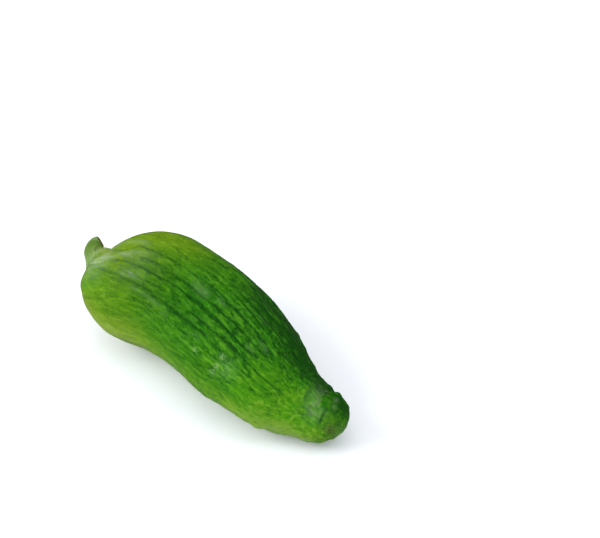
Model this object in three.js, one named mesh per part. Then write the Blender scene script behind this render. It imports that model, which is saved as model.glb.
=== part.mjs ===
// A stuffing cucumber (Cyclanthera pedata), picked with the stub of its stalk and lying on its belly.
// It grew as one piece, so it is one closed solid: an oval section carried along the fruit, from the
// cut of the stalk, through the body, to the tip of the beak.
// Millimetres, +Z up. +X runs from the stalk end to the beak. The origin is on the surface that the
// fruit lies on, under the middle of its box.
import * as THREE from 'three';

// ---- Body: sections square to X, which is counted from the foot of the stalk ---------------------
// sway is how far a section's middle lies to +Y, lift is how far its underside is off the surface,
// and dip, in degrees, is how far the section faces down towards the beak.
const BODY = [
  { place: 'neck', x: 4.5, sway: -5, lift: 23.5, halfWidth: 7.5, dip: 20 },
  { place: 'collar', x: 10, sway: -8, lift: 17, halfWidth: 12.5, dip: 8 },
  { place: 'shoulder', x: 17, sway: -5, lift: 7.5, halfWidth: 20.5, dip: 0 },
  { place: 'fullest', x: 32, sway: -1, lift: 0.8, halfWidth: 27.5, dip: 0 },
  { place: 'waist', x: 51, sway: 3.5, lift: 0, halfWidth: 27, dip: 0 },
  { place: 'belly', x: 76, sway: 1, lift: 0, halfWidth: 26.5, dip: 0 },
  { place: 'hip', x: 94, sway: -1.5, lift: 0, halfWidth: 25, dip: 0 },
  { place: 'taper', x: 114, sway: -4.5, lift: 0.8, halfWidth: 20.5, dip: 0 },
  { place: 'beak root', x: 126, sway: -3.5, lift: 1, halfWidth: 15, dip: 0 },
];
const HEIGHT_TO_WIDTH = 0.965; // lying down, the fruit is a little lower than it is wide
const RIBS = 10; // low ribs along the veins, one of them under the belly
const RIB_HEIGHT = 0.35; // how far a rib stands above the middle of its slope
const RIB_FREE_RADIUS = 9; // sections this slim, at the stalk and the beak, have no ribs
const BED_DEPTH = 0.6; // how far the belly is pressed flat where it lies

// ---- The two curled ends ------------------------------------------------------------------------
// Each end turns about a crease, like a fan. A section reaches from just off the crease to an outer
// edge, which closes in evenly as the end turns. Pairs are the values at the body and at the end.
const STALK = {
  crease: new THREE.Vector3(2.5, 0.5, 34.5),
  away: new THREE.Vector3(-0.34, -0.8, -0.49), // from the crease to the first section's middle
  onward: new THREE.Vector3(-0.81, -0.02, 0.58), // the way the stalk sets out
  turn: [0, 99], // degrees
  outer: [10.5, 6],
  gap: [0.3, 0.3],
  halfWidth: [5.1, 2.9],
  sway: [0, 0],
  sections: 5,
};
const BEAK = {
  crease: new THREE.Vector3(135.5, -0.5, 24),
  away: new THREE.Vector3(0, 0, -1),
  onward: new THREE.Vector3(1, 0, 0),
  turn: [8, 112],
  outer: [22.5, 5],
  gap: [1.5, 1.2],
  halfWidth: [11.5, 2.6],
  sway: [-0.5, 1],
  sections: 6,
};
const TIP_CROWN = 0.8; // how far the beak's tip is rounded out past its last section

// ---- Mesh ---------------------------------------------------------------------------------------
const AROUND = 48; // points in a section
const ROW_SPACING = 4; // the most between two rows of points
const LEAST_STEPS = 2; // rows between two sections that lie close together

const SKIN = new THREE.MeshStandardMaterial({ color: 0x3d8a14, roughness: 0.4, metalness: 0 });
const SIDEWAYS = new THREE.Vector3(0, 1, 0);
const { lerp, degToRad, smoothstep } = THREE.MathUtils;

/** A body section, standing on the surface at its lift. */
function bodySection({ x, sway, lift, halfWidth, dip }) {
  const halfHeight = halfWidth * HEIGHT_TO_WIDTH;
  const angle = degToRad(dip);
  return {
    centre: new THREE.Vector3(x, sway, lift + halfHeight),
    heading: new THREE.Vector3(Math.cos(angle), 0, -Math.sin(angle)),
    halfWidth,
    halfHeight,
  };
}

/** The sections of a curled end, from the body outwards. Their headings point away from the body. */
function curlSections(curl) {
  const away = curl.away.clone().normalize();
  const onward = curl.onward.clone().addScaledVector(away, -curl.onward.dot(away)).normalize();
  return Array.from({ length: curl.sections }, (_, i) => {
    const share = i / (curl.sections - 1);
    const [turn, outer, gap, halfWidth, sway] = ['turn', 'outer', 'gap', 'halfWidth', 'sway'].map(
      (size) => lerp(...curl[size], share),
    );
    const [sin, cos] = [Math.sin(degToRad(turn)), Math.cos(degToRad(turn))];
    const centre = away.clone().multiplyScalar(cos).addScaledVector(onward, sin);
    centre.multiplyScalar((outer + gap) / 2).add(curl.crease).addScaledVector(SIDEWAYS, sway);
    const heading = onward.clone().multiplyScalar(cos).addScaledVector(away, -sin);
    return { centre, heading, halfWidth, halfHeight: (outer - gap) / 2 };
  });
}

/** The stalk's sections, from its cut to its foot, heading the same way as the body's. */
function stalkSections() {
  return curlSections(STALK)
    .reverse()
    .map((section) => ({ ...section, heading: section.heading.negate() }));
}

/** Where the rows of points lie, as shares of the way along the curve through the sections. */
function rowPlaces(sections) {
  const spans = sections.length - 1;
  const places = [];
  for (let i = 0; i < spans; i += 1) {
    const length = sections[i].centre.distanceTo(sections[i + 1].centre);
    const steps = Math.max(LEAST_STEPS, Math.ceil(length / ROW_SPACING));
    for (let k = 0; k < steps; k += 1) places.push((i + k / steps) / spans);
  }
  return [...places, 1];
}

/** One row of points: an oval with low ribs, square to its heading, with its width kept level. */
function rowPoints(middle, heading, halfWidth, halfHeight) {
  const side = SIDEWAYS.clone().addScaledVector(heading, -SIDEWAYS.dot(heading)).normalize();
  const up = heading.clone().cross(side);
  const ribHeight = RIB_HEIGHT * smoothstep(halfWidth, RIB_FREE_RADIUS, 2 * RIB_FREE_RADIUS);
  return Array.from({ length: AROUND }, (_, j) => {
    const angle = (2 * Math.PI * j) / AROUND;
    const rib = -ribHeight * Math.cos(RIBS * angle);
    return middle
      .clone()
      .addScaledVector(side, (halfWidth + rib) * Math.cos(angle))
      .addScaledVector(up, (halfHeight + rib) * Math.sin(angle));
  });
}

/** Triangles between the rows and over both ends, all facing outwards. */
function skinTriangles(rows) {
  const firstMiddle = rows * AROUND;
  const lastMiddle = firstMiddle + 1;
  const lastRow = (rows - 1) * AROUND;
  const triangles = [];
  for (let j = 0; j < AROUND; j += 1) {
    const next = (j + 1) % AROUND;
    for (let row = 0; row < lastRow; row += AROUND) {
      const [a, b, c, d] = [row + j, row + next, row + AROUND + next, row + AROUND + j];
      triangles.push(a, b, c, a, c, d);
    }
    triangles.push(firstMiddle, next, j, lastMiddle, lastRow + j, lastRow + next);
  }
  return triangles;
}

/** The fruit as one closed surface, pressed flat where it lies and set over the origin. */
function fruitGeometry() {
  const sections = [...stalkSections(), ...BODY.map(bodySection), ...curlSections(BEAK)];
  const smooth = (vectors) => new THREE.CatmullRomCurve3(vectors, false, 'catmullrom', 0.5);
  const centres = smooth(sections.map((section) => section.centre));
  const headings = smooth(sections.map((section) => section.heading));
  const sizes = smooth(sections.map(({ halfWidth, halfHeight }) => new THREE.Vector3(halfWidth, halfHeight)));
  const rows = rowPlaces(sections).map((place) => {
    const size = sizes.getPoint(place);
    return rowPoints(centres.getPoint(place), headings.getPoint(place).normalize(), size.x, size.y);
  });
  const cutMiddle = centres.getPoint(0);
  const tip = centres.getPoint(1).addScaledVector(headings.getPoint(1).normalize(), TIP_CROWN);
  const points = [...rows.flat(), cutMiddle, tip];

  const bed = Math.min(...points.map((point) => point.z)) + BED_DEPTH;
  const pressed = points.map((point) => point.setZ(Math.max(point.z, bed)));
  const geometry = new THREE.BufferGeometry().setFromPoints(pressed);
  geometry.setIndex(skinTriangles(rows.length));
  geometry.computeBoundingBox();
  const { min, max } = geometry.boundingBox;
  geometry.translate(-(min.x + max.x) / 2, -(min.y + max.y) / 2, -min.z);
  geometry.computeVertexNormals();
  return geometry;
}

const cucumber = new THREE.Mesh(fruitGeometry(), SKIN);
cucumber.name = 'cucumber';

const group = new THREE.Group();
group.name = 'stuffing_cucumber';
group.add(cucumber);

export default group;
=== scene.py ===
"""A stuffing cucumber as picked: one grown fruit, its skin modelled in relief and dressed in its greens.

The skin is one grid. Its rows follow the fruit from the cut of the stalk to the tip of the beak. Its
columns go round it, in degrees from the far side, with 90 on top and 180 on the near side. Lengths are
in millimetres until the mesh is made, which is in metres.
"""

import logging
import math
from dataclasses import dataclass
from enum import Enum
from itertools import product

import bpy
import numpy as np
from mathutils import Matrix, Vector


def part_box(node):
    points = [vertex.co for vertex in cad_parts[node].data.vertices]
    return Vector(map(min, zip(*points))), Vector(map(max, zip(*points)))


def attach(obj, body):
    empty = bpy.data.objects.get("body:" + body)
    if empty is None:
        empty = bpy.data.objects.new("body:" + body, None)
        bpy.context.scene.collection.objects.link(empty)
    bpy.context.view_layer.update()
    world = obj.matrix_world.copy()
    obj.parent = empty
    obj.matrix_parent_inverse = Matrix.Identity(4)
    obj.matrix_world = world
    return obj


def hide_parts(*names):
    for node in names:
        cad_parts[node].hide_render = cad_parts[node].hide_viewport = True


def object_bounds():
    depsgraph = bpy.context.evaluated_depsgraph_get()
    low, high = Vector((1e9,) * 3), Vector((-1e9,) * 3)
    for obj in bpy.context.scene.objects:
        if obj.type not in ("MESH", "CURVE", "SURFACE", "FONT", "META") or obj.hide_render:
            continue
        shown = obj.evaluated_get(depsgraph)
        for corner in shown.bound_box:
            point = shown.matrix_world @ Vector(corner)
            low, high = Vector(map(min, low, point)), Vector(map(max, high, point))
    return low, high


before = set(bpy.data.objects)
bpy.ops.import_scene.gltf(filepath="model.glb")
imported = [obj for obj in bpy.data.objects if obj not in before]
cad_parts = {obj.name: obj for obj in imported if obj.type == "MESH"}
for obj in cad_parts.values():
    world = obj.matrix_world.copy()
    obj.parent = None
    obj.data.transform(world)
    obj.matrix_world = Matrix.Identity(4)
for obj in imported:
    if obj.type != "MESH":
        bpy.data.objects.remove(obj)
PLAIN_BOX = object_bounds()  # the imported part's lowest and highest corners

LOG = logging.getLogger("cucumber")
MM = 0.001
NODE = "cucumber"
FULL_TURN = 2.0 * math.pi
SIDEWAYS = np.array([0.0, 1.0, 0.0])

Grid = np.ndarray  # of numbers or places, mostly one for each point of the skin
Stations = np.ndarray  # rows of x, y, z, half width, half height and the heading's x, y, z
Amount = np.ndarray | float  # one for each point, or the same for all
Pair = tuple[float, float]
Triple = tuple[float, float, float]
Colour = Triple
Ramp = tuple[Colour, ...]  # evenly spaced from 0 to 1
Values = dict[str | int, object]  # a node's settings, or its inputs' values and links

ALL_ALONG: Pair = (-2.0, -1.0)  # a reach that is over before the fruit begins, so it holds back nothing


# ---- Small sums ----


def unit(vectors: Grid) -> Grid:
    """Divides each vector, along the last axis, by its length."""
    return vectors / np.linalg.norm(vectors, axis=-1, keepdims=True)


def ease(values: Grid, low: float, high: float) -> Grid:
    """Rises smoothly from 0 at low to 1 at high, as 3 t squared less 2 t cubed. high may be the lower."""
    share = np.clip((values - low) / (high - low), 0.0, 1.0)
    return share * share * (3.0 - 2.0 * share)


def hump(values: Grid, width: float) -> Grid:
    """A bell that is 1 at 0 and falls as e to the minus square of values over width."""
    return np.exp(-((values / width) ** 2))


def between(ends: Pair, share: Amount) -> Amount:
    """The value this share of the way between two ends."""
    return ends[0] + (ends[1] - ends[0]) * share


def turned(angles: Grid, degrees: float) -> Grid:
    """The angles counted from this many degrees, in radians from minus pi to pi."""
    return (angles - math.radians(degrees) + math.pi) % FULL_TURN - math.pi


def closed(grid: Grid) -> Grid:
    """Lists a grid point by point, then adds its first and last rows' means for the two poles."""
    poles = np.stack([grid[0].mean(axis=0), grid[-1].mean(axis=0)])
    return np.concatenate([grid.reshape(-1, *grid.shape[2:]), poles])


@dataclass
class Grain:
    """Seeded gradient noise in three dimensions, the same on each run."""

    seed: int

    CELLS = 256
    REACH = 1.5  # brings the usual extremes close to -1 and 1

    def __post_init__(self) -> None:
        """Draws the order of the cells and a direction for each."""
        draw = np.random.default_rng(self.seed)
        self.order = draw.permutation(self.CELLS)
        self.slopes = unit(draw.normal(size=(self.CELLS, 3)))

    def at(self, points: Grid) -> Grid:
        """Blends the slopes at the eight corners of each point's cell, eased by 6 t^5 - 15 t^4 + 10 t^3.

        Args:
            points: An array whose last axis holds x, y and z, in cells.

        Returns:
            One number a point, about -1 to 1 and 0 at every corner.
        """
        cell = np.floor(points).astype(int)
        part = points - cell
        near = part**3 * (part * (part * 6.0 - 15.0) + 10.0)
        total = np.zeros(points.shape[:-1])
        for corner in product((0, 1), repeat=3):
            x, y, z = np.moveaxis(cell + corner, -1, 0) % self.CELLS
            pick = self.order[(self.order[(self.order[x] + y) % self.CELLS] + z) % self.CELLS]
            rise = (self.slopes[pick] * (part - corner)).sum(axis=-1)
            total += rise * np.where(corner, near, 1.0 - near).prod(axis=-1)
        return self.REACH * total


# ---- The skin's grid, and what can lie on it ----


@dataclass
class Skin:
    """The grid that the skin is worked out on: one row a section, one column an angle."""

    points: Grid
    along: Grid  # each row's distance along the fruit
    around: Grid  # each column's angle
    radius: Grid
    chart: Grid  # where patterns are looked up
    cut: Grid  # 0 at the middle of the stalk's cut to 1 at its rim, and 1 on the rest

    GIRTH = 25.0  # the radius at which a pattern on the skin has its true width
    ROOM = (0.4, 1.0)  # rows' distance over the middle line's, where a fold is tight and where it is open
    LEAST_STEP = 0.001  # stands for the length of the rings that close the ends, which have none

    def place(self, drift: Amount = 0.0) -> Grid:
        """Where each point is on the chart, carried round it.

        Args:
            drift: How far to carry each point, in millimetres where the fruit has its full girth.

        Returns:
            x and y across the chart and z along it, in millimetres.
        """
        x, y, z = np.moveaxis(self.chart, -1, 0)
        sin, cos = np.sin(drift / self.GIRTH), np.cos(drift / self.GIRTH)
        return np.stack([x * cos - y * sin, x * sin + y * cos, z], axis=-1)

    def room(self) -> Grid:
        """1 where rows are as far apart as on the middle line, to 0 where a fold squeezes them."""
        apart = np.linalg.norm(np.gradient(self.points, axis=0), axis=-1)
        return ease(apart / np.maximum(np.gradient(self.along, axis=0), self.LEAST_STEP), *self.ROOM)

    def outward(self) -> Grid:
        """The direction out of the skin at each point: the way round crossed with the way along."""
        way_round = np.roll(self.points, -1, axis=1) - np.roll(self.points, 1, axis=1)
        return unit(np.cross(way_round, np.gradient(self.points, axis=0)))

    def away_from(self, along: float, degrees: float) -> Grid:
        """How far each point is, straight through the fruit, from the place this far along and round."""
        place = np.abs(self.along[:, 0] - along).argmin(), round(degrees / 360.0 * self.points.shape[1])
        return np.linalg.norm(self.points - self.points[place], axis=-1)

    def grain(self, seed: int, across: float, along: float, drift: Amount = 0.0) -> Grid:
        """Noise in cells this wide and long, carried round by a drift: about -1 to 1 at each point."""
        return Grain(seed).at(self.place(drift) / (across, across, along))

    def by(self, start: float, end: float) -> Grid:
        """Rises from 0 to 1 between two places along the fruit, or falls where end comes first."""
        return ease(self.along, start, end)

    def about(self, degrees: float, width: float) -> Grid:
        """A bell round the fruit about one angle, of a width in radians."""
        return hump(turned(self.around, degrees), width)

    def thick(self, thin: float, full: float) -> Grid:
        """Rises from 0 to 1 between two radii, or falls where the full one is the smaller."""
        return ease(self.radius, thin, full)

    def spokes(self, count: int, angle: Grid, width: Amount) -> Grid:
        """A bell across each of so many lines that stand evenly round the fruit."""
        turns = count * angle / FULL_TURN
        return hump((turns - np.round(turns)) * (FULL_TURN * self.radius / count), width)

    def total(self, marks: "Marks") -> Grid:
        """Adds marks up at each point."""
        return sum(mark.on(self) for mark in marks)

    def mask(self, *parts: Amount) -> Grid:
        """Adds parts up and keeps the sum from 0 to 1."""
        return np.clip(sum(parts), 0.0, 1.0)


@dataclass(frozen=True)
class Mark:
    """Something that lies on the skin in an amount: the plain mark lies evenly all over it."""

    amount: float

    def shape(self, skin: Skin) -> Amount:
        """The share of the amount that each point has: all of it."""
        return 1.0

    def on(self, skin: Skin) -> Amount:
        """How much there is at each point."""
        return self.amount * self.shape(skin)


@dataclass(frozen=True)
class Spot(Mark):
    """A round patch about one place: a lump, a hollow or a tone, which may be held back along it."""

    along: float
    degrees: float
    width: float
    reach: Pair = ALL_ALONG

    def shape(self, skin: Skin) -> Grid:
        """A bell over the distance from the place, eased in over the reach."""
        return hump(skin.away_from(self.along, self.degrees), self.width) * skin.by(*self.reach)


@dataclass(frozen=True)
class Stretch(Mark):
    """Part of the fruit's length: all the way round, or about an angle in a width in radians."""

    reach: Pair  # where there is none of it and where it is whole
    degrees: float = 0.0
    width: float = math.inf

    def shape(self, skin: Skin) -> Grid:
        """Eased in over the reach, in a bell about the angle."""
        return skin.about(self.degrees, self.width) * skin.by(*self.reach)


@dataclass(frozen=True)
class Belt(Mark):
    """A belt at one place along: all the way round, or about an angle in a width in radians."""

    along: float
    length: float
    degrees: float = 0.0
    width: float = math.inf

    def shape(self, skin: Skin) -> Grid:
        """A bell along the fruit, in a bell about the angle."""
        return skin.about(self.degrees, self.width) * hump(skin.along - self.along, self.length)


@dataclass(frozen=True)
class Flank(Mark):
    """One side of the fruit: none of it past gone degrees from its middle, and all within whole."""

    degrees: float
    gone: float
    whole: float
    reach: Pair = ALL_ALONG

    def shape(self, skin: Skin) -> Grid:
        """Eased in towards the side's middle, and along the fruit over the reach."""
        off = np.degrees(np.abs(turned(skin.around, self.degrees)))
        return ease(off, self.gone, self.whole) * skin.by(*self.reach)


@dataclass(frozen=True)
class Ripple(Mark):
    """Noise, with cells of a width across and a length along."""

    seed: int
    across: float
    along: float

    def on(self, skin: Skin, drift: Amount = 0.0) -> Grid:
        """The amount times the noise, which may be carried round the fruit."""
        return self.amount * skin.grain(self.seed, self.across, self.along, drift)


Marks = tuple[Mark, ...]


@dataclass(frozen=True)
class Line:
    """A single line along the skin, by its places: millimetres along and degrees round."""

    places: tuple[Pair, ...]
    width: float
    strength: float = 1.0
    fade: float = 3.0

    def mask(self, skin: Skin, drift: Grid) -> Grid:
        """A bell across the line, which bends evenly from place to place and fades at both ends.

        Args:
            skin: The plain skin.
            drift: How far the line wavers round the fruit, in millimetres.

        Returns:
            0 away from the line to its strength on it.
        """
        along, degrees = np.array(self.places).T
        middle = np.radians(np.interp(skin.along, along, degrees))
        across = turned(skin.around - middle + drift / skin.GIRTH, 0.0) * skin.radius
        start, end = along[0], along[-1]
        ends = skin.by(start, start + self.fade) * skin.by(end, end - self.fade)
        return self.strength * hump(across, self.width) * ends


@dataclass(frozen=True)
class Lines:
    """Lines that waver together."""

    waver: Ripple
    lines: tuple[Line, ...]

    def mask(self, skin: Skin) -> Grid:
        """The strongest line at each point, from 0 to 1."""
        drift = self.waver.on(skin)
        return np.maximum.reduce([line.mask(skin, drift) for line in self.lines])


# ---- Form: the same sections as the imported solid's ----


@dataclass(frozen=True)
class BodySection:
    """An oval across the body, square to X, at its sway to +Y and its lift above the table."""

    x: float
    sway: float
    lift: float
    half_width: float
    dip: float = 0.0

    def station(self, height_to_width: float) -> list[float]:
        """The oval's row: its middle is half its height above its lift, and its heading dips."""
        up, dip = self.half_width * height_to_width, math.radians(self.dip)
        return [self.x, self.sway, self.lift + up, self.half_width, up, math.cos(dip), 0.0, -math.sin(dip)]


@dataclass(frozen=True)
class Curl:
    """An end that turns about a crease, like a fan. Pairs are the values at the body and at the end."""

    crease: Triple
    away: Triple
    onward: Triple
    turn: Pair
    outer: Pair
    gap: Pair
    half_width: Pair
    sway: Pair
    sections: int

    def stations(self) -> Stations:
        """Lays the sections out from the body to the end.

        At turn t the middle is the crease plus the mean of outer and gap, along cos t of away and
        sin t of onward, and the heading is cos t of onward less sin t of away.

        Returns:
            One row a section.
        """
        away = unit(np.array(self.away))
        onward = np.array(self.onward)
        onward = unit(onward - onward @ away * away)
        share = np.linspace(0.0, 1.0, self.sections)[:, None]
        ends = (self.turn, self.outer, self.gap, self.half_width, self.sway)
        turn, outer, gap, half_width, sway = (between(pair, share) for pair in ends)
        sin, cos = np.sin(np.radians(turn)), np.cos(np.radians(turn))
        middle = self.crease + (outer + gap) / 2.0 * (cos * away + sin * onward)
        middle = middle + sway * SIDEWAYS
        return np.hstack([middle, half_width, (outer - gap) / 2.0, cos * onward - sin * away])


@dataclass(frozen=True)
class Form:
    """The fruit's plain form: ovals carried along it from the stalk's cut to the beak's tip."""

    body: tuple[BodySection, ...] = (
        BodySection(4.5, -5, 23.5, 7.5, 20),  # neck
        BodySection(10, -8, 17, 12.5, 8),  # collar
        BodySection(17, -5, 7.5, 20.5),  # shoulder
        BodySection(32, -1, 0.8, 27.5),  # fullest
        BodySection(51, 3.5, 0, 27),  # waist
        BodySection(76, 1, 0, 26.5),  # belly
        BodySection(94, -1.5, 0, 25),  # hip
        BodySection(114, -4.5, 0.8, 20.5),  # taper
        BodySection(126, -3.5, 1, 15),  # beak root
    )
    stalk: Curl = Curl(
        crease=(2.5, 0.5, 34.5), away=(-0.34, -0.8, -0.49), onward=(-0.81, -0.02, 0.58),
        turn=(0, 99), outer=(10.5, 6), gap=(0.3, 0.3),
        half_width=(5.1, 2.9), sway=(0, 0), sections=5,
    )
    beak: Curl = Curl(
        crease=(135.5, -0.5, 24), away=(0, 0, -1), onward=(1, 0, 0),
        turn=(8, 112), outer=(22.5, 5), gap=(1.5, 1.2),
        half_width=(11.5, 2.6), sway=(-0.5, 1), sections=6,
    )
    height_to_width: float = 0.965
    ribs: int = 10
    rib_height: float = 0.35
    rib_free_radius: float = 9.0
    cut_dish: float = 0.7  # how far the cut of the stalk has dried in at its middle
    tip_crown: float = 1.6  # how far the tip is rounded out
    own_chart: Pair = (116.0, 146.0)  # where patterns go over to the points' own places
    rows: int = 236
    end_rows: int = 12
    columns: int = 384
    measures: int = 4000  # steps that the length is measured in

    ABOUT_TURN = np.array([1, 1, 1, 1, 1, -1, -1, -1])  # turns a station's heading round

    def stations(self) -> Stations:
        """Every section from the stalk's cut to the beak's tip, all heading towards the tip."""
        body = [section.station(self.height_to_width) for section in self.body]
        return np.vstack([self.stalk.stations()[::-1] * self.ABOUT_TURN, body, self.beak.stations()])

    def curve(self, places: np.ndarray) -> Stations:
        """Carries the sections' values along a uniform Catmull-Rom curve.

        Each span's cubic meets both of its sections with half the difference of their neighbours as
        its slope, and each end has a made-up neighbour that mirrors the section inside it.

        Args:
            places: Where along the curve, 1 for each span.

        Returns:
            One row a place, with headings one unit long.
        """
        known = self.stations()
        known = np.vstack([2 * known[0] - known[1], known, 2 * known[-1] - known[-2]])
        span = np.clip(np.floor(places).astype(int), 0, len(known) - 4)
        t = (places - span)[:, None]
        before, start, end, after = (known[span + k] for k in range(4))
        rise_out, rise_in = (end - before) / 2.0, (after - start) / 2.0
        rows = (2 * t**3 - 3 * t**2 + 1) * start + (t**3 - 2 * t**2 + t) * rise_out
        rows = rows + (3 * t**2 - 2 * t**3) * end + (t**3 - t**2) * rise_in
        rows[:, 5:] = unit(rows[:, 5:])
        return rows

    def even_rows(self) -> Stations:
        """Spaces rows evenly by the skin's longest line.

        A step of it is the middle's step, plus the heading's times the half height.

        Returns:
            As many rows as the skin has.
        """
        fine = np.linspace(0.0, len(self.stations()) - 1.0, self.measures)
        rows = self.curve(fine)
        step = np.linalg.norm(np.diff(rows[:, :3], axis=0), axis=1)
        sweep = np.linalg.norm(np.diff(rows[:, 5:], axis=0), axis=1)
        length = np.concatenate([[0.0], np.cumsum(step + sweep * rows[1:, 4])])
        return self.curve(np.interp(np.linspace(0.0, length[-1], self.rows), length, fine))

    def skin(self) -> Skin:
        """Lays an oval of points round each row and closes both ends with shrinking rings.

        A point is the middle plus side times half width times cos a plus up times half height times
        sin a, for its angle a. The side is Y made square to the heading. Ribs stand evenly round, where
        the section is wide enough. The chart is a plain cylinder, which before the beak goes over to
        the points' own places, turned the same way, so that patterns aren't squeezed in the fold.

        Returns:
            The plain skin, in the form's own millimetres.
        """
        rows = self.even_rows()
        middle, heading = rows[:, :3], rows[:, 5:]
        side = unit(SIDEWAYS - (heading @ SIDEWAYS)[:, None] * heading)
        up = np.cross(heading, side)
        along = np.cumsum(np.linalg.norm(np.diff(middle, axis=0, prepend=middle[:1]), axis=1))

        inner = (np.arange(self.end_rows) + 1.0) / (self.end_rows + 1.0)
        dish = self.cut_dish * (1.0 - inner**2) ** 2
        crown = self.tip_crown * np.sqrt(1.0 - inner**2)
        pick = np.pad(np.arange(self.rows), self.end_rows, "edge")
        share = np.concatenate([inner, np.ones(self.rows), inner[::-1]])[:, None]
        push = np.concatenate([dish, np.zeros(self.rows), crown[::-1]])[:, None]

        half_width, half_height = rows[pick, 3:4], rows[pick, 4:5]
        angle = np.arange(self.columns)[None, :] * (FULL_TURN / self.columns)
        swell = ease(half_width, self.rib_free_radius, 2.0 * self.rib_free_radius)
        rib = -self.rib_height * swell * np.cos(self.ribs * angle)
        wide = (share * (half_width + rib) * np.cos(angle))[..., None] * side[pick, None, :]
        high = (share * (half_height + rib) * np.sin(angle))[..., None] * up[pick, None, :]
        points = (middle[pick] + push * heading[pick])[:, None, :] + wide + high
        along = along[pick][:, None]

        root = np.abs(points[:, :, 0].max(axis=1) - self.beak.crease[0]).argmin()
        own = (points - points[root].mean(axis=0))[..., [1, 2, 0]] + np.array([0.0, 0.0, along[root, 0]])
        wide, deep = share * Skin.GIRTH, np.broadcast_to(along, points.shape[:2])
        chart = np.stack([wide * np.cos(angle), wide * np.sin(angle), deep], axis=-1)
        chart = chart + (own - chart) * ease(along, *self.own_chart)[..., None]
        return Skin(
            points=points,
            along=along,
            around=angle,
            radius=share * (half_width + half_height) / 2.0,
            chart=chart,
            cut=np.where(along > 0.0, 1.0, share),
        )


# ---- Relief: what stands out of the plain form or is sunk into it ----


@dataclass(frozen=True)
class Veins:
    """The veins under the skin: furrows along the fruit, and rows of raised pale flecks between them."""

    count: int = 36
    first: float = 6.5  # degrees round to the first vein
    width: float = 0.6
    taper: Pair = (0.4, 1.0)  # the width's share at no girth and at the full one
    bend: Ripple = Ripple(0.75, 11, 9, 26)
    wriggle: Ripple = Ripple(0.4, 12, 3.5, 6)
    stroke: Ripple = Ripple(1, 13, 3.2, 17)
    broken: Pair = (-0.5, 0.45)  # the strokes' noise where a furrow is gone and where it is whole
    shaded: float = 0.55  # how much of the furrows is lost in the shade
    shade: Triple = (-45.0, -15.0, 90.0)  # its start, full depth and end, in degrees past the near side
    reach: Marks = (Stretch(1, (22, 52)), Stretch(-0.5, (120, 138)))
    rows: tuple[Ripple, Ripple] = (Ripple(1, 14, 1.7, 5.5), Ripple(0.7, 15, 1, 2.4))
    level: Pair = (0.04, 0.34)  # the flecks' noise at their edges and where they are whole
    pebbles: tuple[Ripple, Ripple] = (Ripple(1, 16, 1.7, 2.2), Ripple(0.6, 17, 1, 1.4))
    late: Pair = (112.0, 140.0)  # where rows give way to pebbles
    weaker: Marks = (  # on the far side of the top, towards the beak, and on its knob
        Stretch(0.35, ALL_ALONG, 40, 0.9), Stretch(0.3, (112, 140)), Stretch(0.5, (158, 165)),
    )
    fleck_radius: Pair = (2.0, 6.0)  # the fruit's, where they begin and where they are whole

    def drift(self, skin: Skin) -> Grid:
        """How far the veins waver round the fruit, in millimetres: a slow bend and a quick wriggle."""
        return self.bend.on(skin) + self.wriggle.on(skin)

    def furrows(self, skin: Skin) -> Grid:
        """How deep in a furrow each point is.

        Lines stand evenly round the fruit, moved sideways by the drift, and noise breaks them into
        strokes. They begin past the shoulder, are fainter on the near side and fade before the beak.

        Args:
            skin: The plain skin.

        Returns:
            0 between the furrows to 1 at the bottom of one.
        """
        angle = turned(skin.around, self.first) + self.drift(skin) / skin.GIRTH
        line = skin.spokes(self.count, angle, self.width * between(self.taper, skin.radius / skin.GIRTH))
        stroke = ease(self.stroke.on(skin), *self.broken)
        start, full, end = self.shade
        below = np.degrees(turned(skin.around, 180.0))
        shade = ease(below, start, full) * (below <= end)
        return line * stroke * (1.0 - self.shaded * shade) * skin.total(self.reach)

    def flecks(self, skin: Skin) -> Grid:
        """Crisp pale flecks: noise drawn out along the fruit, cut off at a level.

        Towards the beak they get shorter and wander off their rows.

        Args:
            skin: The plain skin.

        Returns:
            0 between the flecks to 1 on one.
        """
        drift = self.drift(skin)
        rows = sum(row.on(skin, drift) for row in self.rows)
        noise = rows + (skin.total(self.pebbles) - rows) * skin.by(*self.late)
        shown = math.prod(1.0 - mark.on(skin) for mark in self.weaker)
        return ease(noise, *self.level) * skin.thick(*self.fleck_radius) * shown


@dataclass(frozen=True)
class Warts:
    """Small rounded bumps, sparse at the stalk and crowded towards the beak."""

    count: int = 320
    span: Pair = (62.0, 158.0)
    radius: Pair = (0.8, 1.6)
    height: Pair = (0.12, 0.75)
    length: float = 1.5  # over the width
    reach: float = 4.0  # how far off a bump still counts, over its radius
    seed: int = 29

    def heights(self, skin: Skin) -> Grid:
        """Adds a bell longer than it is wide at each bump's place, a batch of rows at a time.

        Args:
            skin: The plain skin.

        Returns:
            How far each point is raised, in millimetres.
        """
        draw = np.random.default_rng(self.seed)
        along = between(self.span, np.sqrt(draw.random(self.count)))
        angle = draw.random(self.count) * FULL_TURN
        radius = between(self.radius, draw.random(self.count))
        height = between(self.height, ease(along, *self.span) * draw.random(self.count))
        raised = np.zeros(skin.points.shape[:2])
        for place, turn, size, top in zip(along, angle, radius, height):
            rows = np.flatnonzero(np.abs(skin.along[:, 0] - place) < self.reach * size)
            across = turned(skin.around - turn, 0.0) * skin.radius[rows]
            raised[rows] += top * hump(across, size) * hump(skin.along[rows] - place, self.length * size)
        return raised


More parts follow.
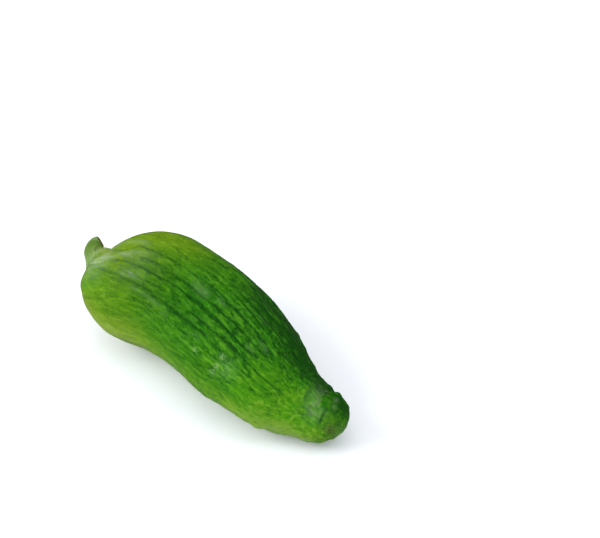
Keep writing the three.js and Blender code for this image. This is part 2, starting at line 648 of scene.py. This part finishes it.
@dataclass(frozen=True)
class Buttresses:
    """The stalk's five angles, which run down into the shoulder as pale ridges."""

    count: int = 5
    first: float = 116.0
    height: float = 0.6
    width: float = 1.7
    full_radius: float = 9.0  # ridges are narrower where the stalk is thinner than this
    fade: Pair = (24.0, 9.0)
    waver: Ripple = Ripple(0.09, 41, 12, 16)  # in radians

    def crests(self, skin: Skin) -> Grid:
        """How near each point is to a ridge's crest, wavering a little and fading down the shoulder.

        Args:
            skin: The plain skin.

        Returns:
            0 away from the ridges to 1 on a crest.
        """
        angle = turned(skin.around, self.first) + self.waver.on(skin)
        width = self.width * np.minimum(1.0, skin.radius / self.full_radius)
        return skin.spokes(self.count, angle, width) * skin.by(*self.fade)


@dataclass(frozen=True)
class BeakFolds:
    """The creases where the beak is folded back on the fruit, and the puckers that this pushes up."""

    creases: Lines = Lines(Ripple(0.5, 53, 3, 3), (
        Line(((156, 180), (158, 174), (161, 168), (163, 173), (165, 187), (166, 207), (167, 240)),
             0.9, 0.8, 4),
        Line(((149, 69), (152.5, 80)), 0.8, 0.9, 1),
        Line(((155, 142), (160.5, 147)), 0.9, 0.4, 2),
        Line(((155.5, 190), (158, 197), (162, 203), (164.5, 212)), 1, 0.35, 2.5),
        Line(((156.5, 232), (159, 236), (163, 241)), 0.8, 0.3, 2),
    ))
    depth: float = 0.8
    pucker: Ripple = Ripple(0.22, 54, 7, 2.1)
    puckered: Marks = (Stretch(0.25, (132, 150)), Flank(0.75, 108, 88, 35, (132, 150)))

    def puckers(self, skin: Skin) -> Grid:
        """How far the skin is sunk: noise in wide, short cells, before the folds and mostly on top."""
        return skin.total(self.puckered) * np.maximum(self.pucker.on(skin), 0.0)


WAVER = Ripple(0.5, 61, 5, 6)  # of the main veins and of the pale ribs beside them


@dataclass
class Relief:
    """All the relief of the skin, with the furrows, flecks, ribs and crests that its colours read."""

    skin: Skin
    veins: Veins = Veins()
    main_veins: Lines = Lines(WAVER, (
        Line(((21, 95), (27, 101), (37, 105), (44, 97), (66, 96), (88, 95), (112, 96)), 0.6, 0.75),
        Line(((36, 118), (44, 116), (62, 118), (88, 115), (112, 117), (124, 114)), 0.6),
        Line(((16, 121), (22, 127), (33, 130), (45, 132), (56, 134), (63, 136), (82, 137), (100, 135)),
             0.8),
        Line(((56, 85), (76, 85), (100, 84), (118, 86)), 0.55, 0.7),
        Line(((60, 109), (72, 108), (86, 108), (100, 107)), 0.65),
        Line(((82, 127), (96, 127), (110, 125), (126, 126), (140, 127)), 0.55, 0.85),
        Line(((24, 181), (28, 173), (34, 164), (43, 157)), 0.9, 0.7),
        Line(((50, 145), (62, 150), (78, 148)), 0.7, 0.6),
        Line(((60, 166), (70, 162), (86, 160)), 0.7, 0.5),
        Line(((66, 67), (72, 65), (82, 62)), 1.1, 0.8),
    ))
    ribs: Lines = Lines(WAVER, (
        # from the stalk's foot: a pale ridge, partly a painted highlight
        Line(((8, 153), (14, 138), (19, 124), (24, 119), (31, 117), (37, 112)), 2.9, 0.42, 8),
        Line(((26, 118), (31, 116), (38, 110), (46, 104), (54, 102)), 1.6, 0.34, 9),
        Line(((42, 131), (47, 127), (52, 126), (58, 127)), 1.5, 0.34, 6),
        Line(((20, 98), (27, 97), (36, 93), (50, 91)), 1.3, 0.25, 8),
        # along the top edge on the far side: a low ridge, painted pale as a rim of light from the room
        Line(((40, 60), (56, 50), (68, 47), (84, 47)), 2.4, 0.2, 10),
        Line(((48, 137), (56, 139), (62, 140), (72, 141)), 0.8, 0.14, 6),
        Line(((69, 144), (76, 144)), 1.8, 0.1),
        Line(((74, 102), (82, 104), (90, 106)), 2.2, 0.15, 6),
        Line(((90, 100), (98, 101)), 1.5, 0.1),
        Line(((108, 78), (116, 79)), 0.9, 0.1),
        Line(((114, 112), (121, 113)), 1, 0.12, 2.5),
        Line(((117, 99), (125, 100)), 1, 0.1, 2.5),
    ))
    warts: Warts = Warts()
    buttresses: Buttresses = Buttresses()
    folds: BeakFolds = BeakFolds()
    lumps: Marks = (
        Spot(-1.2, 23, 88, 6), Spot(1.3, 39, 79, 8), Spot(1.2, 26, 150, 8), Spot(0.8, 52, 62, 9),
        Spot(0.8, 61, 205, 9), Spot(0.6, 84, 50, 8), Spot(-0.5, 82, 190, 6), Spot(1.1, 98, 200, 10),
        Spot(-2.3, 104, 46, 8), Spot(-1.6, 132, 37, 8), Spot(-0.7, 140, 191, 9),
        Spot(-1, 148.5, 46, 2.6), Spot(1.2, 160, 252, 5),
        Spot(0.4, 166.3, 315, 2.4), Spot(1, 166.4, 338, 1.8),  # the knob at the tip
    )
    swell: Marks = (Ripple(0.45, 73, 16, 22), Ripple(0.16, 74, 6, 11))
    fleck_height: Marks = (Mark(0.054), Stretch(0.126, (20, 110)))
    furrow_depth: float = 0.38
    vein_share: float = 0.8  # how deep the many veins are beside the main ones
    rib_height: float = 0.3
    swell_radius: Pair = (4.0, 12.0)  # the fruit's, where the swell begins and where it is whole
    line_radius: Pair = (3.0, 9.0)
    crest_radius: Pair = (2.0, 6.0)
    least_radius: Pair = (0.3, 2.2)  # of all the relief

    def __post_init__(self) -> None:
        """Adds the parts up, each only where the fruit is thick enough to carry it.

        Nothing is raised deep inside the folds, so that the skin doesn't cross itself there.
        """
        skin = self.skin
        crease = self.folds.creases.mask(skin)
        veins = self.vein_share * self.veins.furrows(skin)
        # the beak's creases join the furrows, so the skin is darkened in them too: painted shade
        self.furrow = np.maximum.reduce([veins, self.main_veins.mask(skin), crease])
        self.fleck = self.veins.flecks(skin) * (1.0 - self.furrow)
        self.rib = self.ribs.mask(skin)
        self.crest = self.buttresses.crests(skin)
        flecks = skin.total(self.fleck_height) * self.fleck
        lines = flecks - self.furrow_depth * self.furrow + self.rib_height * self.rib
        raised = (
            skin.total(self.swell) * skin.thick(*self.swell_radius)
            + lines * skin.thick(*self.line_radius)
            + self.buttresses.height * self.crest * skin.thick(*self.crest_radius)
            + self.warts.heights(skin)
            - self.folds.puckers(skin)
            - self.folds.depth * crease
            + skin.total(self.lumps)
        )
        self.raised = raised * skin.thick(*self.least_radius) * skin.room()


@dataclass(frozen=True)
class Colouring:
    """How the colours lie on the skin: masks that follow the relief, and marks that are added up."""

    skin: Skin
    relief: Relief
    upper: Marks = (Mark(0.36), Stretch(0.37, (14, 66)))
    paling: float = 0.39  # of the upper side before the beak
    lag: float = 26.0  # of the paling, on the far side of the top
    far: Flank = Flank(1, 20, 80, 40, (84, 114))
    darkest: Marks = (Mark(0.84), Stretch(0.12, ALL_ALONG, 60, 0.6))  # the far side's tone
    belly: Flank = Flank(-0.56, 238, 112, 25, (8, 26))
    waist: Belt = Belt(-0.25, 92, 18)  # where the belly is less pale
    # the top paler towards the stalk, and a faint belt before the beak that is partly a painted sheen
    crown: Marks = (Stretch(-0.28, (122, 46), 72, 0.42), Belt(-0.05, 145, 8, 106, 0.4))
    beak: Marks = (
        Mark(0.38), Stretch(0.3, (151, 165)), Spot(0.38, 165.5, 305, 7), Spot(-0.28, 162, 165, 6.5),
    )
    dark: Marks = (
        Ripple(0.06, 81, 12, 26), Ripple(0.05, 82, 5, 10), Belt(0.06, 11, 4),  # clouds, and the collar
        Spot(0.16, 31, 141, 5), Spot(0.2, 155, 131, 5.5), Spot(-0.12, 149, 192, 6),
        Stretch(0.24, (9, 5)), Stretch(-0.46, (9, 5), 66, 0.6),  # the stalk, and its pale side
    )
    olive: Marks = (
        Mark(0.12), Ripple(0.12, 91, 7, 12), Spot(-0.2, 31, 145, 9),
        Stretch(0.5, (88, 34)), Stretch(0.3, (76, 40), 105, 0.45),  # the sunned end, and its top
        Stretch(0.3, (96, 56), 62, 0.4), Stretch(0.06, (144, 154)), Stretch(-0.16, (160, 165)),
        Stretch(0.35, (10, 5)), Stretch(-0.21, (10, 5), 85, 0.6),  # the stalk, and its pale side
        Flank(0.22, 238, 70, 40),  # the belly
    )
    # the pale band at the stalk's foot: wax bloom, partly a painted highlight
    foot: Belt = Belt(0.85, 9.5, 3.5)
    foot_crests: Pair = (0.65, 1.0)  # its share between the ridges and on them
    # wax bloom, and painted light: sheen, highlights and the white floor's reflection
    bloom_and_sheen: Marks = (
        Spot(0.5, 25, 119, 9), Spot(0.35, 28.5, 118, 4), Spot(0.12, 46, 113, 10),  # the shoulder: wax bloom, partly a painted sheen
        Stretch(0.14, (9, 6)), Stretch(0.21, (9, 6), 70, 0.8),  # the stalk
        Stretch(0.5, (157, 146), 222, 0.42),  # low on the near side: a painted reflection of the white floor
        Spot(0.3, 151, 94, 6, (156, 151)), Spot(0.24, 158, 131, 4.5, (166, 161)),  # the beak: a painted sheen
        # a painted reflection of the floor under the beak, and two painted highlights on its knob
        Spot(0.35, 158, 264, 4), Spot(0.5, 166.5, 274, 0.9), Spot(0.5, 165, 238, 0.9),
    )
    # painted highlights: the lamps' sparkles on the near flank, painted pale in small patches
    painted_glint_spots: Marks = (
        Spot(0.9, 109, 140, 1.3), Spot(0.9, 108.5, 152, 1.3), Spot(1, 107.5, 159, 1.2),
        Spot(0.36, 113, 147, 4), Spot(0.9, 96, 153, 1),
    )
    coarse: Marks = (Stretch(1, (60, 128)), Stretch(-0.7, (158, 165)))
    rubbed: Spot = Spot(0.55, 159.4, 216, 2.3)
    scar: Stretch = Stretch(0.25, (160, 166))
    scar_radius: Pair = (1.3, 0.5)
    bundles: int = 8

    def greenness(self) -> Grid:
        """How dark a green the skin is.

        The upper side darkens from the stalk to the middle and pales again before the beak, later on
        the far side of the top. The far side keeps darkening, and the belly and the crown are pale.
        From its fold on, the beak has a tone of its own. Clouds and patches are added.

        Returns:
            0 where it is palest to 1 where it is darkest.
        """
        skin, far = self.skin, self.far.on(self.skin)
        lag = self.lag * ease(np.degrees(turned(skin.around, 100.0)), 18.0, -16.0)
        upper = skin.total(self.upper) - self.paling * ease(skin.along - lag, 106.0, 142.0)
        belly = self.belly.on(skin) * skin.by(158, 138) * (1.0 + self.waist.on(skin))
        tone = upper + (skin.total(self.darkest) - upper) * far + belly + skin.total(self.crown)
        tone = tone + (skin.total(self.beak) - tone) * skin.by(144, 158) * (1.0 - far)
        return skin.mask(tone, skin.total(self.dark))

    def paleness(self) -> Grid:
        """How thick a pale layer lies over the green: wax bloom, and painted sheen, highlights and floor
        reflection, on the ribs, the patches and the stalk's foot.
        """
        foot = self.foot.on(self.skin) * between(self.foot_crests, self.relief.crest)
        return self.skin.mask(self.relief.rib, foot, self.skin.total(self.bloom_and_sheen))

    def dryness(self) -> Grid:
        """Where the skin is browned: the cut of the stalk, the scar at the tip and a rubbed spot."""
        scar = self.scar.on(self.skin) * self.skin.thick(*self.scar_radius)
        return self.skin.mask(scar, ease(self.skin.cut, 1.0, 0.98), self.rubbed.on(self.skin))

    def pith(self) -> Grid:
        """How light the dry skin is: on the cut, a pale middle in a ring of dark bundles."""
        bundles = hump(self.skin.cut - 0.62, 0.14) * (0.5 + 0.5 * np.cos(self.bundles * self.skin.around))
        return self.skin.mask(0.35, 0.5 * ease(self.skin.cut, 1.0, 0.86), -0.6 * bundles)

    def layers(self) -> dict[str, Grid]:
        """Works out what the finish reads at each point of the skin.

        Warmth is how far the greens lean to olive. The painted glints are painted highlights, broken up
        like a crackle.
        Coarseness is how strong the pattern is.

        Returns:
            A grid of numbers under each name, and one of places.
        """
        skin = self.skin
        return {
            "place": skin.place(),
            "furrow": self.relief.furrow,
            "fleck": self.relief.fleck,
            "greenness": self.greenness(),
            "warmth": skin.mask(skin.total(self.olive)),
            "paleness": self.paleness(),
            "scuff": np.maximum.reduce([patch.on(skin) for patch in self.painted_glint_spots]),
            "coarseness": skin.total(self.coarse),
            "dryness": self.dryness(),
            "pith": self.pith(),
        }


# ---- Shader sums ----


class Sum(Enum):
    """What a Math node works out."""

    ADD = "ADD"
    SUBTRACT = "SUBTRACT"
    MULTIPLY = "MULTIPLY"


@dataclass(frozen=True)
class Signal:
    """A number, colour or direction on its way through a material's nodes: one output of a node."""

    board: "Board"
    socket: bpy.types.NodeSocket | None

    def _sum(self, kind: Sum, *values: "Signal | float") -> "Signal":
        """Adds one Math node that works this out of these values."""
        return self.board.node("ShaderNodeMath", {"operation": kind.value}, dict(enumerate(values)))

    def __add__(self, other: "Signal | float") -> "Signal":
        """self + other."""
        return self._sum(Sum.ADD, self, other)

    __radd__ = __add__

    def __mul__(self, other: "Signal | float") -> "Signal":
        """self * other."""
        return self._sum(Sum.MULTIPLY, self, other)

    __rmul__ = __mul__

    def __sub__(self, other: "Signal | float") -> "Signal":
        """self - other."""
        return self._sum(Sum.SUBTRACT, self, other)

    def __rsub__(self, other: "Signal | float") -> "Signal":
        """other - self."""
        return self._sum(Sum.SUBTRACT, other, self)


@dataclass(frozen=True)
class Weave:
    """How a finish's noise looks."""

    squash: Triple  # what x, y and z are multiplied by: less than 1 draws the cells out
    scale: float  # one over a cell's width
    detail: float  # how many finer layers lie on it
    warp: float = 0.0  # how far its own noise bends it
    steps: Pair = (0.0, 1.0)  # where stepped noise is 0 and where it is 1


@dataclass
class Board:
    """The nodes of a material or a world, and the one way in which they are made."""

    owner: "bpy.types.Material | bpy.types.World"

    def __post_init__(self) -> None:
        """Turns nodes on and clears what Blender puts there."""
        self.owner.use_nodes = True
        self.tree = self.owner.node_tree
        self.tree.nodes.clear()

    def node(
        self, kind: str, settings: Values | None = None, wires: Values | None = None, output: str = ""
    ) -> Signal:
        """Makes a node, sets it up, then gives its inputs their values or links.

        Args:
            kind: Blender's name for the node's type.
            settings: The node's own settings. "stops" are a ramp's colours.
            wires: Its inputs by name, identifier or number, each a value or a Signal.
            output: The identifier of the output to give back: the first if none is named.

        Returns:
            That output, or nothing where the node has none.
        """
        made = self.tree.nodes.new(kind)
        for name, value in (settings or {}).items():
            if name == "stops":
                self._set_stops(made.color_ramp.elements, value)
            else:
                setattr(made, name, value)
        sockets = {socket.identifier: socket for socket in reversed(made.inputs)}
        for name, value in (wires or {}).items():
            socket = sockets.get(name) or made.inputs[name]
            if isinstance(value, Signal):
                self.tree.links.new(value.socket, socket)
            else:
                socket.default_value = (*value, 1.0) if socket.type == "RGBA" else value
        return Signal(self, next((out for out in made.outputs if output in ("", out.identifier)), None))

    @staticmethod
    def _set_stops(stops: bpy.types.ColorRampElements, colours: Ramp) -> None:
        """Spreads colours evenly over a ramp.

        Args:
            stops: The ramp's own, fewer at first.
            colours: From 0 to 1.
        """
        while len(stops) < len(colours):
            stops.new(1.0)
        for place, (stop, colour) in enumerate(zip(stops, colours)):
            stop.position = place / (len(colours) - 1)
            stop.color = (*colour, 1.0)

    def attribute(self, name: str, output: str = "Fac") -> Signal:
        """Reads one of the mesh's own attributes, as a number by default."""
        return self.node("ShaderNodeAttribute", {"attribute_name": name}, output=output)

    def noise(self, place: Signal, weave: Weave) -> Signal:
        """Adds layered noise.

        Args:
            place: Where it is looked up.
            weave: How it looks.

        Returns:
            From about 0.2 to 0.8.
        """
        squashed = self.node("ShaderNodeVectorMath", {"operation": "MULTIPLY"}, {0: place, 1: weave.squash})
        wires = {"Vector": squashed, "Scale": weave.scale, "Detail": weave.detail, "Distortion": weave.warp}
        return self.node("ShaderNodeTexNoise", None, wires)

    def step(self, value: Signal, low: float, high: float) -> Signal:
        """Rises smoothly from 0 where value is low to 1 where it is high."""
        wires = {"Value": value, "From Min": low, "From Max": high}
        return self.node("ShaderNodeMapRange", {"interpolation_type": "SMOOTHSTEP"}, wires)

    def stepped(self, place: Signal, weave: Weave) -> Signal:
        """Noise that steps smoothly from 0 to 1."""
        return self.step(self.noise(place, weave), *weave.steps)

    def ramp(self, value: Signal, colours: Ramp) -> Signal:
        """The colour that a ramp has at a value."""
        return self.node("ShaderNodeValToRGB", {"stops": colours}, {"Fac": value}, "Color")

    def mix(self, share: "Signal | float", base: object, top: object) -> Signal:
        """Lays one colour over another by a share."""
        wires = {"Factor_Float": share, "A_Color": base, "B_Color": top}
        return self.node("ShaderNodeMix", {"data_type": "RGBA"}, wires, "Result_Color")

    def dress(self, wires: Values) -> bpy.types.Material:
        """Ends the material in a Principled shader.

        Args:
            wires: The shader's inputs.

        Returns:
            The material.
        """
        shader = self.node("ShaderNodeBsdfPrincipled", None, wires)
        self.node("ShaderNodeOutputMaterial", None, {"Surface": shader})
        return self.owner


# ---- Finishes ----


@dataclass(frozen=True)
class FruitSkin:
    """The fruit's waxy skin: greens by its own growth, darker in the furrows, with painted shade in the
    beak's creases, and paler on the flecks.
    """

    greens: Ramp = (
        (0.135, 0.33, 0.01), (0.074, 0.276, 0.0008), (0.044, 0.222, 0.0003),
        (0.025, 0.168, 0.0002), (0.012, 0.114, 0.0002), (0.003, 0.06, 0.0005),
    )
    olives: Ramp = (
        (0.24, 0.33, 0.035), (0.18, 0.276, 0.004), (0.122, 0.222, 0.001),
        (0.077, 0.168, 0.001), (0.04, 0.114, 0.001), (0.016, 0.06, 0.001),
    )
    # the colour of the wax bloom, and of the painted sheen, highlights and reflections
    wax_and_sheen: Colour = (0.33, 0.43, 0.25)
    straw: Colour = (0.17, 0.15, 0.05)
    cork: Colour = (0.013, 0.012, 0.004)
    streaks: Weave = Weave((1.0, 1.0, 0.22), 0.75, 4.0, 0.5, (0.34, 0.66))
    specks: Weave = Weave((1.0, 1.0, 0.55), 1.2, 3.0, 0.6, (0.33, 0.67))
    pits: Weave = Weave((1.0, 1.0, 0.6), 0.5, 3.0, 0.9, (0.48, 0.66))
    # how the painted highlights of the glints break up, like a crackle
    glint_crackle: Weave = Weave((1.0, 1.0, 1.0), 0.9, 3.0, 0.7, (0.38, 0.58))
    grit: Weave = Weave((1.0, 1.0, 0.5), 1.9, 3.0)
    bleed: Triple = (0.6, 1.0, 0.25)  # how far red, green and blue light spreads in the flesh
    tooth: float = 0.25 * MM  # the grit's height

    def material(self) -> bpy.types.Material:
        """Builds the skin's nodes.

        The tone is the greenness, plus streaks, specks, pits and furrows, less flecks and the painted
        glints' crackle. In the beak's creases the furrows' darkening is painted shade. It picks a green and
        an olive, mixed by warmth. Wax bloom with painted sheen, highlights and reflection, and then dry
        skin lie over them.

        Returns:
            The material.
        """
        board = Board(bpy.data.materials.new("waxy green skin"))
        place = board.attribute("place", "Vector")
        furrow, fleck, coarse = (board.attribute(name) for name in ("furrow", "fleck", "coarseness"))
        green, warm, pale = (board.attribute(name) for name in ("greenness", "warmth", "paleness"))
        scuff, dry, pith = (board.attribute(name) for name in ("scuff", "dryness", "pith"))

        speck = board.noise(place, self.specks)
        specks = board.step(speck, *self.specks.steps)
        streaks, pits = board.stepped(place, self.streaks), board.stepped(place, self.pits)
        # painted highlights, broken up like a crackle
        glint_crackle = scuff * board.stepped(place, self.glint_crackle)
        flecks = board.step(fleck + specks * 0.5, 0.35, 1.0)
        # darker in the furrows: dark veins, and painted shade in the beak's creases
        lines = board.step(furrow + (specks - 0.5) * 0.3, 0.1, 0.8)

        tone = green + (streaks - 0.5) * 0.16 + (specks - 0.5) * 0.18 + 0.03
        tone = tone + pits * (coarse * 0.17 + 0.09) + lines * (coarse * 0.08 + 0.17)
        tone = tone - flecks * (coarse * 0.14 + 0.12) - glint_crackle * 0.34 - pale * 0.04
        colour = board.mix(warm, board.ramp(tone, self.greens), board.ramp(tone, self.olives))
        # wax bloom and painted sheen, highlights and reflection, broken up by streaks and specks
        bloom_and_sheen = pale * (streaks * 0.65 + specks * 0.45)
        colour = board.mix(bloom_and_sheen + glint_crackle * 0.35 + scuff * 0.07 + flecks * 0.014, colour, self.wax_and_sheen)
        browned = board.mix(pith + (specks - 0.5) * 0.3, self.cork, self.straw)
        colour = board.mix(dry, colour, browned)

        wires = {"Strength": 0.35, "Distance": self.tooth, "Height": board.noise(place, self.grit)}
        bump = board.node("ShaderNodeBump", None, wires)
        rough = 0.38 + (speck - 0.5) * 0.25 + furrow * 0.12 + dry * 0.4
        shine = {"IOR": 1.42, "Specular IOR Level": 0.2, "Coat Weight": 0.14, "Coat Roughness": 0.12}
        flesh = {"Subsurface Weight": 0.1, "Subsurface Radius": self.bleed, "Subsurface Scale": 1.2 * MM}
        return board.dress({"Base Color": colour, "Roughness": rough, "Normal": bump} | shine | flesh)


@dataclass(frozen=True)
class PaperFloor:
    """The matte white paper that the fruit lies on."""

    white: Colour = (0.855, 0.868, 0.905)
    hollow: float = 0.985  # the lightness of its tooth's hollows, over the white's
    tooth: Weave = Weave((1.0, 1.0, 1.0), 900.0, 2.0)
    glow: float = 0.1  # the light that comes up through it

    def material(self) -> bpy.types.Material:
        """Builds the paper's nodes, with a faint tooth.

        Returns:
            The material.
        """
        board = Board(bpy.data.materials.new("white paper"))
        tooth = board.noise(board.node("ShaderNodeTexCoord", output="Object"), self.tooth)
        colour = board.mix(tooth, self.white, tuple(self.hollow * part for part in self.white))
        wires = {"Base Color": colour, "Roughness": 0.9, "Specular IOR Level": 0.2}
        return board.dress(wires | {"Emission Color": self.white, "Emission Strength": self.glow})


# ---- The fruit ----


def add(name: str, data: bpy.types.ID) -> bpy.types.Object:
    """Adds an object to the scene, with this mesh, lamp or camera in it."""
    bpy.context.scene.collection.objects.link(made := bpy.data.objects.new(name, data))
    return made


@dataclass
class Cucumber:
    """The whole fruit as one closed skin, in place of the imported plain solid."""

    form: Form = Form()
    finish: FruitSkin = FruitSkin()

    def settled(self, skin: Skin) -> Grid:
        """Where the form's origin comes in the row's frame.

        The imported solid's box and the plain skin's have the same top and the same middle from above.

        Args:
            skin: The plain skin.

        Returns:
            The move in millimetres, x, y and z.
        """
        low, high = (np.array(corner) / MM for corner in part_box(NODE))
        mine_low, mine_high = skin.points.min(axis=(0, 1)), skin.points.max(axis=(0, 1))
        move = (low + high - mine_low - mine_high) / 2.0
        move[2] = high[2] - mine_high[2]
        return move

    def faces(self, rows: int, columns: int) -> list[list[int]]:
        """Squares between the rows and a fan over each end, all facing outwards.

        Args:
            rows: Rows in the grid.
            columns: Points in a row.

        Returns:
            The corners of each face.
        """
        here = np.arange(rows * columns).reshape(rows, columns)
        beside = np.roll(here, -1, axis=1)
        corners = [here[:-1], beside[:-1], beside[1:], here[1:]]
        squares = np.stack(corners, axis=-1).reshape(-1, 4)
        cut, tip = np.full((2, columns), [[rows * columns], [rows * columns + 1]])
        first = np.stack([cut, beside[0], here[0]], axis=-1)
        last = np.stack([tip, here[-1], beside[-1]], axis=-1)
        return squares.tolist() + first.tolist() + last.tolist()

    def build(self) -> bpy.types.Object:
        """Makes the relief, the mesh and its attributes, and dresses it.

        Each point moves out of the plain skin by its relief. Below the table it is pressed up to it.

        Returns:
            The fruit.
        """
        skin = self.form.skin()
        relief = Relief(skin)
        points = closed(skin.points + relief.raised[..., None] * skin.outward() + self.settled(skin))
        points[:, 2] = np.maximum(points[:, 2], 0.0)

        mesh = bpy.data.meshes.new(NODE + "_skin")
        mesh.from_pydata((points * MM).tolist(), [], self.faces(*relief.raised.shape))
        mesh.polygons.foreach_set("use_smooth", np.ones(len(mesh.polygons), bool))
        for name, grid in Colouring(skin, relief).layers().items():
            kind, key = ("FLOAT_VECTOR", "vector") if grid.ndim == 3 else ("FLOAT", "value")
            made = mesh.attributes.new(name, kind, "POINT")
            made.data.foreach_set(key, closed(grid).astype(np.float32).ravel())
        mesh.materials.append(self.finish.material())
        mesh.update()

        fruit = add("fruit", mesh)
        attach(fruit, "root")
        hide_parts(NODE)
        LOG.info("fruit: %d faces, box %s", len(mesh.polygons), [round(v, 4) for v in fruit.dimensions])
        return fruit


# ---- The studio ----


@dataclass(frozen=True)
class Stand:
    """Where a lamp or the eye stands, by degrees round the fruit and above the table, and its distance."""

    azimuth: float
    elevation: float
    distance: float

    def hold(self, held: bpy.types.Object, target: Vector) -> None:
        """Stands an object off from a target and turns it to look at it. Azimuth 0 looks along +Y.

        Args:
            held: The object.
            target: What it looks at.
        """
        turn, rise = math.radians(self.azimuth), math.radians(self.elevation)
        level = math.cos(rise)
        back = Vector((math.sin(turn) * level, -math.cos(turn) * level, math.sin(rise)))
        held.location = target + back * self.distance
        held.rotation_euler = (-back).to_track_quat("-Z", "Y").to_euler()


@dataclass(frozen=True)
class SoftBox(Stand):
    """A square lamp that looks at the fruit."""

    name: str
    side: float
    watts: float
    mirrored: bool = False  # whether the skin's gloss shows it

    def hang(self, target: Vector) -> None:
        """Makes the lamp and turns it to the target.

        Args:
            target: What it looks at.
        """
        lamp = bpy.data.lights.new(self.name, "AREA")
        lamp.shape = "SQUARE"
        lamp.size = self.side
        lamp.energy = self.watts
        held = add(self.name, lamp)
        held.visible_glossy = self.mirrored
        self.hold(held, target)


@dataclass(frozen=True)
class Studio:
    """The paper floor, the soft lamps and the camera, round a box. Lengths are in metres."""

    low: Vector
    high: Vector
    floor: PaperFloor = PaperFloor()
    floor_side: float = 8.0
    lamps: tuple[SoftBox, ...] = (
        SoftBox(-38, 38, 0.9, "key", 0.5, 4.6),
        SoftBox(112, 56, 0.9, "rim", 0.28, 0.9),
        SoftBox(20, 86, 1.1, "top", 0.9, 3.2),
        SoftBox(-32, 16, 0.9, "glint", 0.07, 0.12, mirrored=True),
    )
    room: Colour = (0.95, 0.97, 1.0)
    room_light: float = 0.82
    room_gloss: float = 0.05  # how bright the room is where the skin's gloss shows it
    eye: Stand = Stand(40.0, 40.0, 0.5908)
    aim: Triple = (-0.1, 1.352, -0.52)  # where the view is centred, as shares of the box from its middle
    lens: float = 70.0  # in millimetres

    def lay_floor(self) -> None:
        """Lays a square of paper far wider than the view, at the height that the fruit rests on."""
        half = self.floor_side / 2.0
        mesh = bpy.data.meshes.new("floor")
        corners = [(-half, -half, 0.0), (half, -half, 0.0), (half, half, 0.0), (-half, half, 0.0)]
        mesh.from_pydata(corners, [], [(0, 1, 2, 3)])
        mesh.materials.append(self.floor.material())
        floor = add("floor", mesh)
        floor.visible_glossy = False

    def light(self) -> None:
        """Hangs the lamps and lights the room evenly."""
        for lamp in self.lamps:
            lamp.hang((self.low + self.high) / 2.0)
        board = Board(bpy.data.worlds.new("room"))
        mirrored = board.node("ShaderNodeLightPath", output="Is Glossy Ray")
        strength = self.room_light - (self.room_light - self.room_gloss) * mirrored
        light = board.node("ShaderNodeBackground", None, {"Color": self.room, "Strength": strength})
        board.node("ShaderNodeOutputWorld", None, {"Surface": light})
        bpy.context.scene.world = board.owner

    def place_camera(self) -> None:
        """Looks down on the fruit from its front right, with its stalk to the left."""
        lens = bpy.data.cameras.new("camera")
        lens.lens = self.lens
        camera = add("camera", lens)
        middle, size = (self.low + self.high) / 2.0, self.high - self.low
        self.eye.hold(camera, middle + size * Vector(self.aim))
        bpy.context.scene.camera = camera

    def build(self) -> None:
        """Sets the whole studio up."""
        self.place_camera()
        self.lay_floor()
        self.light()
        bpy.context.scene.view_settings.view_transform = "Standard"
        LOG.info("studio: %d lamps, paper floor, %g mm lens", len(self.lamps), self.lens)


def main() -> None:
    """Builds the studio and the fruit."""
    logging.basicConfig(level=logging.INFO, format="%(name)s: %(message)s")
    Studio(*PLAIN_BOX).build()
    Cucumber().build()


if __name__ == "__main__":
    main()
